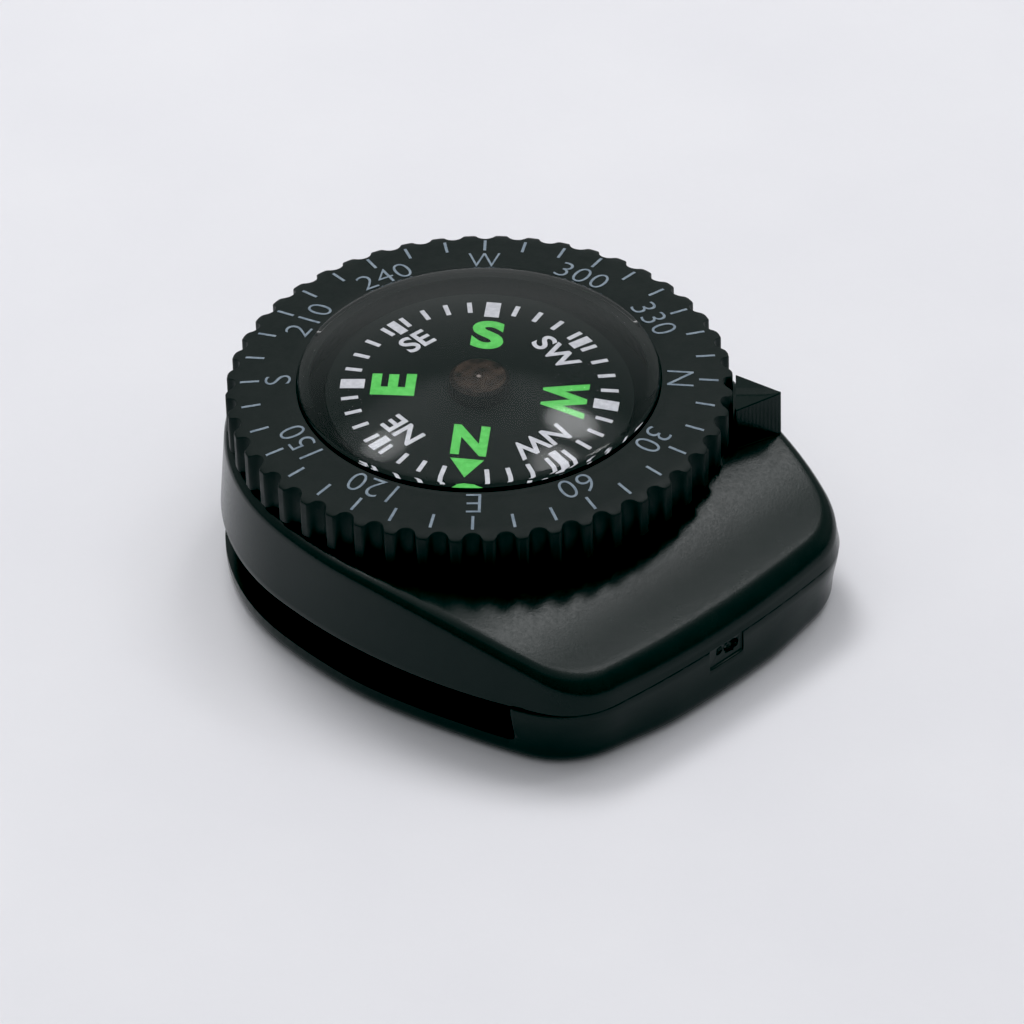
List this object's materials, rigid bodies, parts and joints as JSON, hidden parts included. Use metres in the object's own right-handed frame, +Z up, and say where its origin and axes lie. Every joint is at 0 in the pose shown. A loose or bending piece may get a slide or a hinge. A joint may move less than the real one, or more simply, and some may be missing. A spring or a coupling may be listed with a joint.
{
  "type": "watch strap compass",
  "caption": "Clip-on watch-strap compass: liquid-filled domed capsule with a floating card, fluted rotating bezel, direction arrow and a strap slot under the case.",
  "frame": {"origin": "middle of the clip plate's flat underside, at the centre of the outline", "axes": "+Z up along the compass's axis, -Y towards the square nose, +X across the case"},
  "size_m": [0.0304, 0.0348, 0.0145],
  "materials": {
    "case_plastic": "fine spark-eroded satin moulding",
    "bezel_plastic": "satin moulding with a pad-printed scale",
    "clear_acrylic": "polished",
    "cup_plastic": "moulded",
    "card_print": "screen-printed card",
    "hub_brass": "dull turned brass",
    "jewel_glass": "polished",
    "ferrite": "sintered ferrite",
    "spring_steel": "drawn wire",
    "plug_rubber": "moulded",
    "adhesive_pad": "foam tape"
  },
  "bodies": {
    "case": {"case": "case_plastic", "clip_plate": "case_plastic", "bezel_tension_ring": "spring_steel", "capsule_dome": "clear_acrylic", "capsule_cup": "cup_plastic", "fill_plug": "plug_rubber", "capsule_pad": "adhesive_pad", "pivot_post": "cup_plastic", "pivot_pin": "spring_steel"},
    "bezel": {"bezel": "bezel_plastic"},
    "card_hub": {"jewel": "jewel_glass", "jewel_cup": "hub_brass"},
    "card": {"compass_card": "card_print", "card_magnet": "ferrite"}
  },
  "joints": [
    {"name": "bezel_turn", "type": "hinge", "parent": "case", "child": "bezel", "pos_m": [0, 0.00232, 0.01], "axis": [0, 0, 1], "continuous": true},
    {"name": "card_tilt", "type": "hinge", "parent": "case", "child": "card_hub", "pos_m": [0, 0.00232, 0.00975], "axis": [0.1582, 0.9874, 0], "range_deg": [-12.3, 3.7]},
    {"name": "card_spin", "type": "hinge", "parent": "card_hub", "child": "card", "pos_m": [0, 0.00232, 0.00975], "axis": [0.074, -0.0119, 0.9972], "continuous": true}
  ]
}
